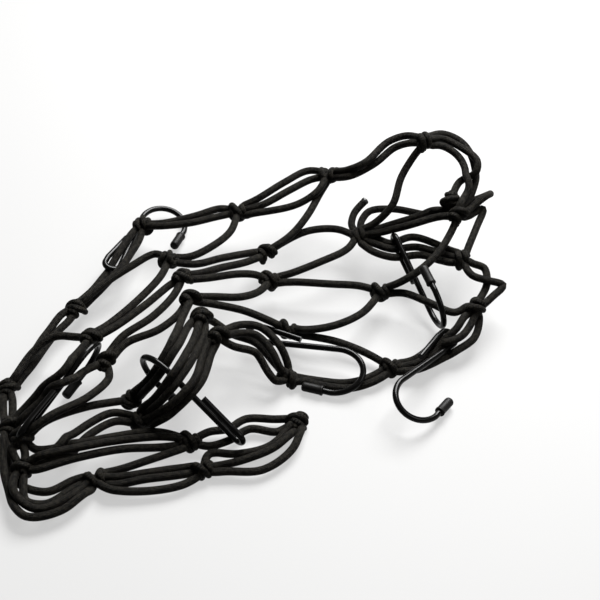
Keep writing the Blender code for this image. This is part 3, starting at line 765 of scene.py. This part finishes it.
def braid_height(tree, pitch, carriers):
    """Height of a round braid's yarns: each diamond shows one yarn, which leans the other way in the next."""
    along = tree.nodes.new("ShaderNodeAttribute")
    along.attribute_name = "along"
    around = tree.nodes.new("ShaderNodeAttribute")
    around.attribute_name = "around"
    split = tree.nodes.new("ShaderNodeSeparateXYZ")
    tree.links.new(around.outputs["Vector"], split.inputs["Vector"])
    angle = maths(tree, "ARCTAN2", split.outputs["Y"], split.outputs["X"])
    turn = maths(tree, "MULTIPLY", angle, carriers / 2)
    run = maths(tree, "MULTIPLY", along.outputs["Fac"], 2 * math.pi / pitch)
    left = maths(tree, "SINE", maths(tree, "ADD", run, turn))
    right = maths(tree, "SINE", maths(tree, "SUBTRACT", run, turn))
    over = maths(tree, "GREATER_THAN", maths(tree, "MULTIPLY", left, right), 0.0)
    under = maths(tree, "SUBTRACT", 1.0, over)
    one = maths(tree, "MULTIPLY", maths(tree, "ABSOLUTE", left), over)
    two = maths(tree, "MULTIPLY", maths(tree, "ABSOLUTE", right), under)
    return maths(tree, "ADD", one, two)


@functools.lru_cache(maxsize=1)
def sheath_finish():
    """Black braided polyester over rubber, with the yarns raised, painted shade between them, and a painted
    highlight, partly wear, on flecked crowns.
    """
    cord = bpy.context.scene.net_cord
    made, tree, shader = new_finish("braided_sheath", cord.colour, roughness=0.55)
    yarns = braid_height(tree, cord.braid_pitch, cord.carriers)
    flecks = maths(tree, "SUBTRACT", grain(tree, FLECK_SCALE), FLECK_FLOOR)
    # Painted shade in the hollows between the yarns and painted highlight on the flecked yarn crowns, partly
    # wear.
    crown_highlight_and_wear = maths(tree, "MULTIPLY", yarns, maths(tree, "MULTIPLY", flecks, FLECK_GAIN))
    colour = shades(tree, crown_highlight_and_wear, cord.colour, HOLLOW_SHADE_SHARE, CROWN_HIGHLIGHT_SHARE)
    tree.links.new(colour, shader.inputs["Base Color"])
    bump(tree, shader, yarns, YARN_HEIGHT, strength=1.0)
    shader.inputs["Specular IOR Level"].default_value = 0.03
    shader.inputs["Sheen Weight"].default_value = 0.006
    shader.inputs["Sheen Roughness"].default_value = 0.4
    return made


@functools.lru_cache(maxsize=1)
def melted_finish():
    """The sealed end of the cord, where sheath and rubber have melted together."""
    made, tree, shader = new_finish("melted_end", MELTED_COLOUR, roughness=0.38)
    bump(tree, shader, grain(tree, scale=900.0, detail=3.0), distance=0.0004, strength=0.6)
    return made


@functools.lru_cache(maxsize=1)
def coat_finish():
    """Glossy black coat on the hook wire, a little uneven as a dipped coat is."""
    hooks = bpy.context.scene.net_hooks
    smoothest, roughest = COAT_ROUGHNESS
    made, tree, shader = new_finish("wire_coat", hooks.coat_colour, roughest)
    shader.inputs["Specular IOR Level"].default_value = 0.07
    uneven = grain(tree, scale=160.0)
    rough = tree.nodes.new("ShaderNodeMapRange")
    tree.links.new(uneven, rough.inputs["Value"])
    rough.inputs["To Min"].default_value = smoothest
    rough.inputs["To Max"].default_value = roughest
    tree.links.new(rough.outputs["Result"], shader.inputs["Roughness"])
    bump(tree, shader, grain(tree, scale=420.0), distance=0.00006, strength=0.5)
    return made


@functools.lru_cache(maxsize=1)
def cap_finish():
    """Satin moulded rubber of the tip caps."""
    hooks = bpy.context.scene.net_hooks
    made, tree, shader = new_finish("cap_rubber", hooks.cap_colour, roughness=0.45)
    shader.inputs["Specular IOR Level"].default_value = 0.06
    spots = grain(tree, scale=700.0, detail=4.0)
    tree.links.new(shades(tree, spots, hooks.cap_colour, *CAP_SHARES), shader.inputs["Base Color"])
    bump(tree, shader, spots, distance=0.00005, strength=0.6)
    return made


class CargoNetCord(bpy.types.PropertyGroup):
    """Sizes and colour of the net's cord."""

    radius: FloatProperty(
        name="Cord radius",
        description="Half the thickness of the elastic cord",
        default=SHEATH_RADIUS * MM,
        subtype="DISTANCE",
        unit="LENGTH",
    )
    sides: IntProperty(name="Cord sides", description="Faces round the cord", default=14, min=6)
    braid_pitch: FloatProperty(
        name="Braid pitch",
        description="Length of cord that two diamonds of the braid take",
        default=0.0026,
        subtype="DISTANCE",
        unit="LENGTH",
    )
    carriers: IntProperty(name="Carriers", description="Yarns round the sheath", default=16, min=4)
    colour: FloatVectorProperty(
        name="Cord colour",
        description="Colour of the braided sheath",
        default=(0.0021, 0.00186, 0.00141),
        subtype="COLOR",
        min=0.0,
        max=1.0,
    )


class CargoNetHooks(bpy.types.PropertyGroup):
    """Sizes and colours of the hooks and their caps."""

    wire_radius: FloatProperty(
        name="Wire radius",
        description="Half the thickness of the coated wire",
        default=WIRE_RADIUS * MM,
        subtype="DISTANCE",
        unit="LENGTH",
    )
    cap_radius: FloatProperty(
        name="Cap radius",
        description="Half the thickness of a tip cap at its rim",
        default=CAP_RADIUS * MM,
        subtype="DISTANCE",
        unit="LENGTH",
    )
    sides: IntProperty(name="Wire sides", description="Faces round a wire or cap", default=24, min=8)
    coat_colour: FloatVectorProperty(
        name="Coat colour",
        description="Colour of the coat on the wire",
        default=(0.0013, 0.00125, 0.00115),
        subtype="COLOR",
        min=0.0,
        max=1.0,
    )
    cap_colour: FloatVectorProperty(
        name="Cap colour",
        description="Colour of the rubber caps",
        default=(0.003, 0.0028, 0.0026),
        subtype="COLOR",
        min=0.0,
        max=1.0,
    )


class CargoNetStage(bpy.types.PropertyGroup):
    """The floor and the studio light."""

    floor_side: FloatProperty(
        name="Floor side",
        description="Length of the floor's side",
        default=9.0,
        subtype="DISTANCE",
        unit="LENGTH",
    )
    floor_colour: FloatVectorProperty(
        name="Floor colour",
        description="Colour of the lit sheet that the net lies on",
        default=(0.08, 0.0798, 0.0792),
        subtype="COLOR",
        min=0.0,
        max=1.0,
    )
    floor_glow: FloatProperty(
        name="Floor glow", description="Light that the sheet gives off from below", default=0.53
    )
    key_power: FloatProperty(
        name="Key power", description="Power of the softbox over the net", default=86.0, subtype="POWER"
    )
    fill_power: FloatProperty(
        name="Fill power", description="Power of the light at the side", default=16.0, subtype="POWER"
    )
    sky: FloatProperty(name="Sky", description="Strength of the light from all round", default=0.2)


class NET_OT_strands(bpy.types.Operator):
    """Draws every strand of the net's cord between its knots, and the cut end"""

    bl_idname = "cargo_net.strands"
    bl_label = "Strands"

    def execute(self, context):
        cord = context.scene.net_cord
        strands = lie()[2]
        draw("net_cord", strands, cord.radius / MM, cord.sides, sheath_finish(), ["net"])
        return {"FINISHED"}


class NET_OT_knots(bpy.types.Operator):
    """Ties a knot of two interlocked wraps where strands meet"""

    bl_idname = "cargo_net.knots"
    bl_label = "Knots"

    def execute(self, context):
        cord = context.scene.net_cord
        knots, axes, _ = lie()
        paths = []
        for count, (name, middle) in enumerate(knots.items()):
            usual = ((count * ROLL_STEP) % ROLL_SPAN - ROLL_SPAN / 2, SECOND_WRAP, None, 1.0, 1.0)
            roll, lead, axis, wide, tight = SEEN_KNOTS.get(name, usual)
            axis = axes[name] if axis is None else np.array(axis)
            paths += knot_wraps(middle, axis, roll, lead, wide, tight)
        draw("net_knots", paths, WRAP_RADIUS, cord.sides, sheath_finish(), [])
        return {"FINISHED"}


class NET_OT_cut_end(bpy.types.Operator):
    """Seals the cut end of the cord"""

    bl_idname = "cargo_net.cut_end"
    bl_label = "Cut End"

    def execute(self, context):
        cord = context.scene.net_cord
        tails = lie()[2][len(STRANDS) :]
        paths, thickness = [], []
        for tail in tails:
            way = (tail[-1] - tail[-3]) / np.linalg.norm(tail[-1] - tail[-3])
            paths.append([tail[-1] + way * CORD_RADIUS * past for past, _ in MELTED_END])
            thickness.append([share for _, share in MELTED_END])
        draw(
            "cut_end", paths, cord.radius / MM, cord.sides, melted_finish(), [], thickness
        )
        return {"FINISHED"}


class NET_OT_hooks(bpy.types.Operator):
    """Bends the six coated wire hooks"""

    bl_idname = "cargo_net.hooks"
    bl_label = "Hooks"

    def execute(self, context):
        hooks = context.scene.net_hooks
        for name, *places in HOOKS:
            fine = hook_path(*places, FINE_EYE_TURNS, FINE_BEND_TURNS)
            path = smooth(dense(fine, WIRE_CORNER), WIRE_STEP)
            draw(
                name + "_wire",
                [path],
                hooks.wire_radius / MM,
                hooks.sides,
                coat_finish(),
                [name],
            )
        return {"FINISHED"}


class NET_OT_caps(bpy.types.Operator):
    """Pushes a moulded cap on the tip of each hook"""

    bl_idname = "cargo_net.caps"
    bl_label = "Caps"

    def execute(self, context):
        hooks = context.scene.net_hooks
        for name, *places in HOOKS:
            path = hook_path(*places)
            way = (path[-1] - path[-2]) / np.linalg.norm(path[-1] - path[-2])
            mouth = path[-1] + way * (CAP_WALL - CAP_LENGTH)
            run = [mouth + way * CAP_LENGTH * share for share, _ in CAP_PROFILE]
            draw(
                name + "_tip",
                [run],
                hooks.cap_radius / MM,
                hooks.sides,
                cap_finish(),
                [name + "_cap"],
                [[share for _, share in CAP_PROFILE]],
            )
        return {"FINISHED"}


class NET_OT_stage(bpy.types.Operator):
    """Lays the pale floor and sets the soft studio light and the camera"""

    bl_idname = "cargo_net.stage"
    bl_label = "Stage"

    def execute(self, context):
        stage = context.scene.net_stage
        body = bmesh.new()
        bmesh.ops.create_grid(body, x_segments=1, y_segments=1, size=stage.floor_side / 2)
        bmesh.ops.translate(body, vec=(0.0, 0.0, -FLOOR_DROP), verts=body.verts)
        mesh = bpy.data.meshes.new("floor")
        body.to_mesh(mesh)
        body.free()
        floor = bpy.data.objects.new("floor", mesh)
        finish, _, shader = new_finish("floor_paper", stage.floor_colour, roughness=0.7)
        shader.inputs["Specular IOR Level"].default_value = 0.2
        shader.inputs["Emission Color"].default_value = GLOW_TINT
        shader.inputs["Emission Strength"].default_value = stage.floor_glow
        mesh.materials.append(finish)
        context.scene.collection.objects.link(floor)
        for name, where, side, power in LIGHTS:
            lamp = bpy.data.lights.new(name, "AREA")
            lamp.size = side
            lamp.energy = getattr(stage, power)
            light = bpy.data.objects.new(name, lamp)
            light.location = where
            light.rotation_euler = (-Vector(where)).to_track_quat("-Z", "Y").to_euler()
            context.scene.collection.objects.link(light)
        world = bpy.data.worlds.new("studio")
        world.use_nodes = True
        sky = world.node_tree.nodes["Background"]
        sky.inputs["Color"].default_value = (1.0, 1.0, 1.0, 1.0)
        sky.inputs["Strength"].default_value = stage.sky
        context.scene.world = world
        context.scene.view_settings.view_transform = "Standard"
        lens = bpy.data.cameras.new("camera")
        lens.angle = 2 * math.atan(FRAME_MIDDLE / SIGHT_SCALE)
        camera = bpy.data.objects.new("camera", lens)
        camera.location = eye_point() * MM
        camera.rotation_euler = (math.pi / 2 - SIGHT_TILT, 0.0, 0.0)
        context.scene.collection.objects.link(camera)
        context.scene.camera = camera
        return {"FINISHED"}


class NET_PT_panel(bpy.types.Panel):
    """The net's sizes and its pieces, in the sidebar"""

    bl_label = "Cargo Net"
    bl_idname = "NET_PT_panel"
    bl_space_type = "VIEW_3D"
    bl_region_type = "UI"
    bl_category = "Cargo Net"

    def draw(self, context):
        for group in (context.scene.net_cord, context.scene.net_hooks, context.scene.net_stage):
            box = self.layout.box()
            for key in group.__annotations__:
                box.prop(group, key)
        for operator in OPERATORS:
            self.layout.operator(operator.bl_idname)


OPERATORS = (NET_OT_stage, NET_OT_strands, NET_OT_knots, NET_OT_cut_end, NET_OT_hooks, NET_OT_caps)
CLASSES = (CargoNetCord, CargoNetHooks, CargoNetStage, *OPERATORS, NET_PT_panel)


def register():
    """Adds the net's settings, operators and panel to Blender."""
    for kind in CLASSES:
        bpy.utils.register_class(kind)
    bpy.types.Scene.net_cord = PointerProperty(type=CargoNetCord)
    bpy.types.Scene.net_hooks = PointerProperty(type=CargoNetHooks)
    bpy.types.Scene.net_stage = PointerProperty(type=CargoNetStage)


def unregister():
    """Takes away what register adds."""
    del bpy.types.Scene.net_stage
    del bpy.types.Scene.net_hooks
    del bpy.types.Scene.net_cord
    for kind in reversed(CLASSES):
        bpy.utils.unregister_class(kind)


def main():
    """Draws every piece and the stage."""
    register()
    bpy.ops.cargo_net.stage()
    bpy.ops.cargo_net.strands()
    bpy.ops.cargo_net.knots()
    bpy.ops.cargo_net.cut_end()
    bpy.ops.cargo_net.hooks()
    bpy.ops.cargo_net.caps()


if __name__ == "__main__":
    main()
